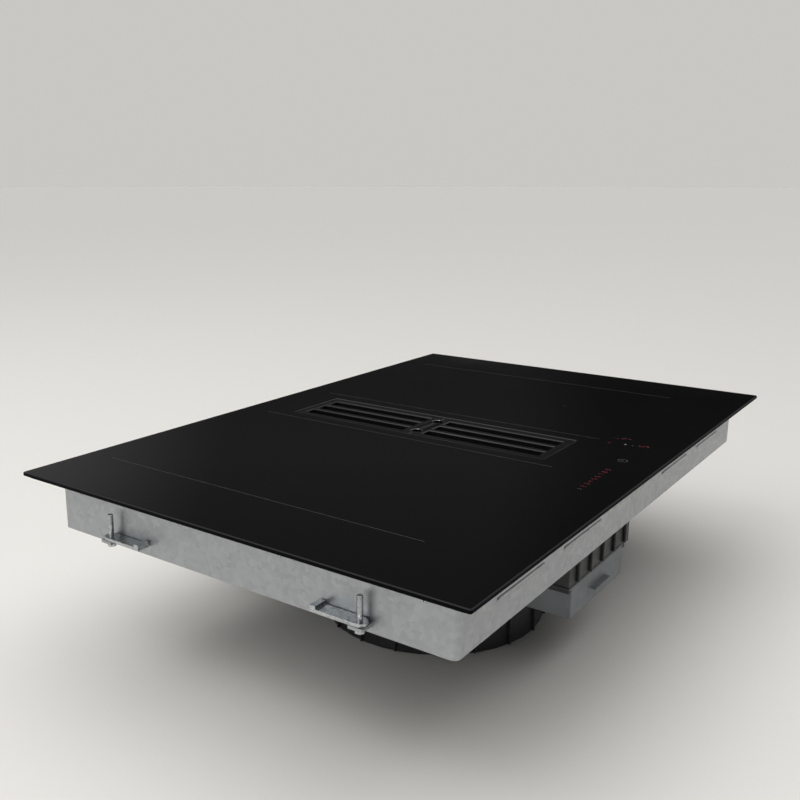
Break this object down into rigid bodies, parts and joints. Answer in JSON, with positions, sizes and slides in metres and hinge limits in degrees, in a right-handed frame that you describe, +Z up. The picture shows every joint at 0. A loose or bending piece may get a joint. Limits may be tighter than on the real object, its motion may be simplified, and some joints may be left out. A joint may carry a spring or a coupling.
{
  "type": "downdraft induction cooktop",
  "caption": "Black glass induction cooktop with a long lift-off intake grille in its middle, bridged cooking zones each side, and a fan below that blows out through a flat rear duct.",
  "frame": {"origin": "middle of the bounding box on the plane that the fan housing stands on; the plate's middle is straight above it, and its top is 210 mm up", "axes": "+X to the user's right along the plate's 800 mm side, +Y away from the user, +Z up"},
  "size_m": [0.8, 0.52, 0.21],
  "materials": {
    "black_glass": "black glass-ceramic, polished, ground edge",
    "black_cast": "black powder coat on cast aluminium, fine satin",
    "black_plastic": "moulded black glass-filled plastic",
    "grey_plastic": "moulded grey plastic",
    "white_plastic": "moulded heat-resistant white plastic",
    "foam": "closed-cell black foam strip",
    "galvanised": "galvanised sheet steel with spangle",
    "aluminium": "rolled and extruded aluminium",
    "steel": "stainless and zinc-plated steel",
    "copper": "enamelled copper litz winding",
    "mica": "pressed mica sheet",
    "circuit_board": "green glass-epoxy circuit board",
    "rubber": "black rubber",
    "clear_plastic": "clear moulded plastic",
    "wire_sheath": "silicone wire insulation"
  },
  "bodies": {
    "hob": {"glass_plate": "black_glass", "edge_seal": "foam", "intake_collar": "black_cast", "collar_gasket": "foam", "intake_well": "black_plastic", "plenum_hood": "black_plastic", "plenum_floor": "black_plastic", "casing_pan": "galvanised", "power_board_left": "circuit_board", "heat_sink_left": "aluminium", "cooling_fan_frame_left": "black_plastic", "mica_sheet_left": "mica", "coil_deck_left": "aluminium", "coil_winding_front_left": "copper", "coil_carrier_front_left": "white_plastic", "temperature_sensor_front_left": "white_plastic", "coil_winding_rear_left": "copper", "coil_carrier_rear_left": "white_plastic", "temperature_sensor_rear_left": "white_plastic", "power_board_right": "circuit_board", "heat_sink_right": "aluminium", "cooling_fan_frame_right": "black_plastic", "mica_sheet_right": "mica", "coil_deck_right": "aluminium", "coil_winding_front_right": "copper", "coil_carrier_front_right": "white_plastic", "temperature_sensor_front_right": "white_plastic", "coil_winding_rear_right": "copper", "coil_carrier_rear_right": "white_plastic", "temperature_sensor_rear_right": "white_plastic", "touch_tray": "black_plastic", "touch_board": "circuit_board", "light_guides": "clear_plastic", "fan_housing_lower": "black_plastic", "fan_housing_lid": "black_plastic", "outlet_flange": "black_plastic", "motor_housing": "galvanised", "motor_cushion": "rubber", "terminal_box": "grey_plastic", "terminal_cover": "grey_plastic", "terminal_block": "white_plastic", "cable_gland": "black_plastic", "wiring_harness": "wire_sheath"},
    "grille_front": {"grille_front": "black_cast"},
    "grille_rear": {"grille_rear": "black_cast"},
    "filter_front": {"filter_frame_front": "steel", "filter_core_front": "aluminium"},
    "filter_rear": {"filter_frame_rear": "steel", "filter_core_rear": "aluminium"},
    "drip_tray": {"drip_tray": "grey_plastic"},
    "fan_rotor": {"fan_wheel": "grey_plastic", "motor_shaft": "steel"},
    "cooling_rotor_left": {"cooling_fan_rotor_left": "black_plastic"},
    "cooling_rotor_right": {"cooling_fan_rotor_right": "black_plastic"},
    "clamp_front_left": {"clamp_front_left": "steel"},
    "clamp_front_right": {"clamp_front_right": "steel"},
    "clamp_rear_left": {"clamp_rear_left": "steel"},
    "clamp_rear_right": {"clamp_rear_right": "steel"}
  },
  "joints": [
    {"name": "grille_front_lift", "type": "slide", "parent": "hob", "child": "grille_front", "axis": [0, 0, 1], "range_m": [0, 0.1]},
    {"name": "grille_rear_lift", "type": "slide", "parent": "hob", "child": "grille_rear", "axis": [0, 0, 1], "range_m": [0, 0.1]},
    {"name": "filter_front_lift", "type": "slide", "parent": "hob", "child": "filter_front", "axis": [0, 0, 1], "range_m": [0, 0.06]},
    {"name": "filter_rear_lift", "type": "slide", "parent": "hob", "child": "filter_rear", "axis": [0, 0, 1], "range_m": [0, 0.06]},
    {"name": "drip_tray_slide", "type": "slide", "parent": "hob", "child": "drip_tray", "axis": [0, -1, 0], "range_m": [0, 0.075]},
    {"name": "fan_spin", "type": "hinge", "parent": "hob", "child": "fan_rotor", "pos_m": [-0.039, 0, 0.05], "axis": [0, 0, 1], "continuous": true},
    {"name": "cooling_fan_left_spin", "type": "hinge", "parent": "hob", "child": "cooling_rotor_left", "pos_m": [-0.212, -0.095, 0.16], "axis": [0, 0, 1], "continuous": true},
    {"name": "cooling_fan_right_spin", "type": "hinge", "parent": "hob", "child": "cooling_rotor_right", "pos_m": [0.212, -0.095, 0.16], "axis": [0, 0, 1], "continuous": true},
    {"name": "clamp_front_left_swing", "type": "hinge", "parent": "hob", "child": "clamp_front_left", "pos_m": [-0.38, -0.15, 0.159], "axis": [0, 0, 1], "range_deg": [0, 90]},
    {"name": "clamp_front_right_swing", "type": "hinge", "parent": "hob", "child": "clamp_front_right", "pos_m": [0.38, -0.15, 0.159], "axis": [0, 0, -1], "range_deg": [0, 90]},
    {"name": "clamp_rear_left_swing", "type": "hinge", "parent": "hob", "child": "clamp_rear_left", "pos_m": [-0.38, 0.15, 0.159], "axis": [0, 0, -1], "range_deg": [0, 90]},
    {"name": "clamp_rear_right_swing", "type": "hinge", "parent": "hob", "child": "clamp_rear_right", "pos_m": [0.38, 0.15, 0.159], "axis": [0, 0, 1], "range_deg": [0, 90]}
  ],
  "couplings": [
    {"joint": "filter_front_lift", "follows": "grille_front_lift", "ratio": 0.6},
    {"joint": "filter_rear_lift", "follows": "grille_rear_lift", "ratio": 0.6}
  ]
}
